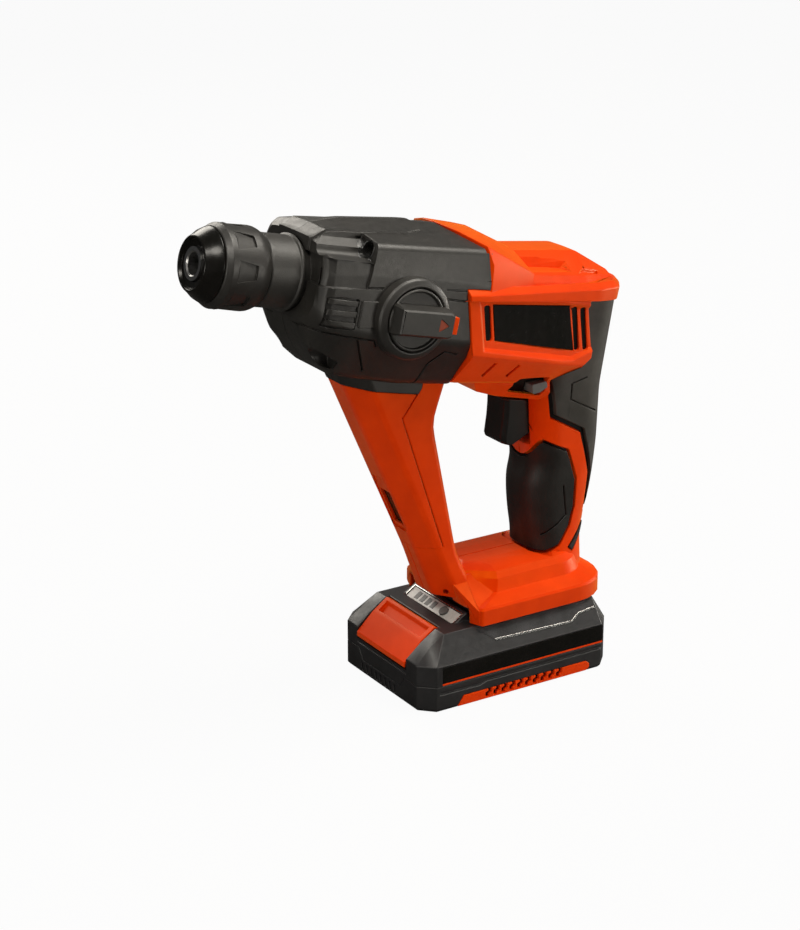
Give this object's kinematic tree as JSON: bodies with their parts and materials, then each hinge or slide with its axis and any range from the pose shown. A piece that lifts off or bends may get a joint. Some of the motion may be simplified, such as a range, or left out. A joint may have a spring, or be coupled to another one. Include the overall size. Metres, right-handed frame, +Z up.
{
  "type": "rotary hammer",
  "caption": "Cordless rotary hammer with a shank chuck, gear head, function selector, closed handle with front strut and slide-on battery.",
  "frame": {"origin": "middle of the battery's underside", "axes": "+X to the rear of the tool, +Y to its right, +Z up, with the tool axis tilted 13 degrees nose up in the XZ plane"},
  "size_m": [0.2275, 0.0859, 0.2407],
  "materials": {
    "orange_plastic": "satin moulded",
    "black_plastic": "satin moulded, lightly grained",
    "rubber": "matt, grained",
    "steel": "ground",
    "alloy": "cast",
    "winding": "varnished windings",
    "contact": "plated",
    "lens": "clear",
    "board": "lacquered board",
    "cell": "shrink wrap over a steel can",
    "gauge": "gloss"
  },
  "bodies": {
    "housing": {"neck_sleeve": "black_plastic", "spindle_seal": "rubber", "front_bearing": "steel", "rear_bearing": "steel", "spindle_bracket": "alloy", "gearbox_flange": "alloy", "countershaft_bearings": "steel", "motor_can": "steel", "motor_bearings": "steel", "gear_housing_left": "black_plastic", "gear_housing_right": "black_plastic", "knob_bezel": "black_plastic", "housing_left": "orange_plastic", "housing_right": "orange_plastic", "rear_hood": "orange_plastic", "side_plates": "black_plastic", "strut_cover": "orange_plastic", "led_lens": "lens", "led_board": "board", "rear_grip": "rubber", "front_grip": "rubber", "trigger_spring": "steel", "switch_body": "black_plastic", "terminal_block": "contact", "housing_screws": "steel", "gear_housing_screws": "steel"},
    "spindle": {"spindle": "steel", "dust_cap": "rubber", "lock_balls": "steel", "spindle_gear": "steel", "spring_washer": "steel", "sleeve_spring": "steel"},
    "sleeve": {"locking_sleeve": "black_plastic"},
    "beat_piece": {"beat_piece": "steel"},
    "striker": {"striker": "steel"},
    "piston": {"piston": "alloy"},
    "countershaft": {"countershaft": "steel", "countershaft_gear": "steel", "countershaft_pinion": "steel", "wobble_hub": "steel"},
    "wobble_ring": {"wobble_ring": "steel"},
    "rotor": {"rotor": "winding", "motor_pinion": "steel", "cooling_fan": "black_plastic"},
    "mode_knob": {"mode_knob": "black_plastic"},
    "knob_lock_button": {"knob_lock_button": "orange_plastic"},
    "trigger": {"trigger": "black_plastic"},
    "direction_switch": {"direction_switch": "black_plastic"},
    "battery": {"battery_lower_case": "black_plastic", "battery_upper_case": "black_plastic", "battery_trims": "orange_plastic", "battery_cells": "cell", "battery_board": "board", "battery_screws": "steel", "gauge_window": "gauge", "latch_spring": "steel"},
    "release_button": {"release_button": "orange_plastic"},
    "gauge_button": {"gauge_button": "gauge"}
  },
  "joints": [
    {"name": "spindle_spin", "type": "hinge", "parent": "housing", "child": "spindle", "pos_m": [-0.07795, 0, 0.209], "axis": [0.9744, 0, -0.225], "continuous": true},
    {"name": "countershaft_spin", "type": "hinge", "parent": "housing", "child": "countershaft", "pos_m": [-0.05457, 0, 0.17691], "axis": [0.9744, 0, -0.225], "continuous": true},
    {"name": "rotor_spin", "type": "hinge", "parent": "housing", "child": "rotor", "pos_m": [-0.00225, 0, 0.18126], "axis": [0.9744, 0, -0.225], "continuous": true},
    {"name": "sleeve_slide", "type": "slide", "parent": "spindle", "child": "sleeve", "axis": [0.9744, 0, -0.225], "range_m": [0, 0.005], "stiffness_N_per_m": 2000, "springref_m": -0.0025, "deforming": ["sleeve_spring"]},
    {"name": "beat_slide", "type": "slide", "parent": "spindle", "child": "beat_piece", "axis": [-0.9744, 0, 0.225], "range_m": [0, 0.003]},
    {"name": "wobble_swing", "type": "hinge", "parent": "housing", "child": "wobble_ring", "pos_m": [-0.04775, 0, 0.17534], "axis": [0, 1, 0], "range_deg": [-14, 14]},
    {"name": "piston_slide", "type": "slide", "parent": "housing", "child": "piston", "axis": [0.9744, 0, -0.225], "range_m": [-0.0063, 0.0063]},
    {"name": "striker_slide", "type": "slide", "parent": "housing", "child": "striker", "axis": [0.9744, 0, -0.225], "range_m": [-0.0066, 0.0066]},
    {"name": "mode_knob_turn", "type": "hinge", "parent": "housing", "child": "mode_knob", "pos_m": [-0.06049, -0.0372, 0.19573], "axis": [0, -1, 0], "range_deg": [-90, 90]},
    {"name": "knob_lock_press", "type": "slide", "parent": "mode_knob", "child": "knob_lock_button", "axis": [-0.9744, 0, 0.225], "range_m": [0, 0.0015], "stiffness_N_per_m": 600, "springref_m": -0.001},
    {"name": "trigger_pull", "type": "slide", "parent": "housing", "child": "trigger", "axis": [0.9744, 0, -0.225], "range_m": [0, 0.006], "stiffness_N_per_m": 1500, "springref_m": -0.004, "deforming": ["trigger_spring"]},
    {"name": "direction_slide", "type": "slide", "parent": "housing", "child": "direction_switch", "axis": [0, 1, 0], "range_m": [-0.003, 0.003]},
    {"name": "battery_slide", "type": "slide", "parent": "housing", "child": "battery", "axis": [-1, 0, 0], "range_m": [0, 0.075]},
    {"name": "release_press", "type": "slide", "parent": "battery", "child": "release_button", "axis": [0, 0, -1], "range_m": [0, 0.003], "stiffness_N_per_m": 1500, "springref_m": -0.002, "deforming": ["latch_spring"]},
    {"name": "gauge_press", "type": "slide", "parent": "battery", "child": "gauge_button", "axis": [0.5388, 0, -0.8424], "range_m": [0, 0.0006], "stiffness_N_per_m": 1500, "springref_m": -0.0003}
  ],
  "couplings": [
    {"joint": "countershaft_spin", "follows": "rotor_spin", "ratio": -0.33333},
    {"joint": "spindle_spin", "follows": "rotor_spin", "ratio": 0.11111},
    {"joint": "wobble_swing", "follows": "piston_slide", "rad_per_m": 38.462},
    {"joint": "striker_slide", "follows": "piston_slide", "ratio": 1}
  ]
}
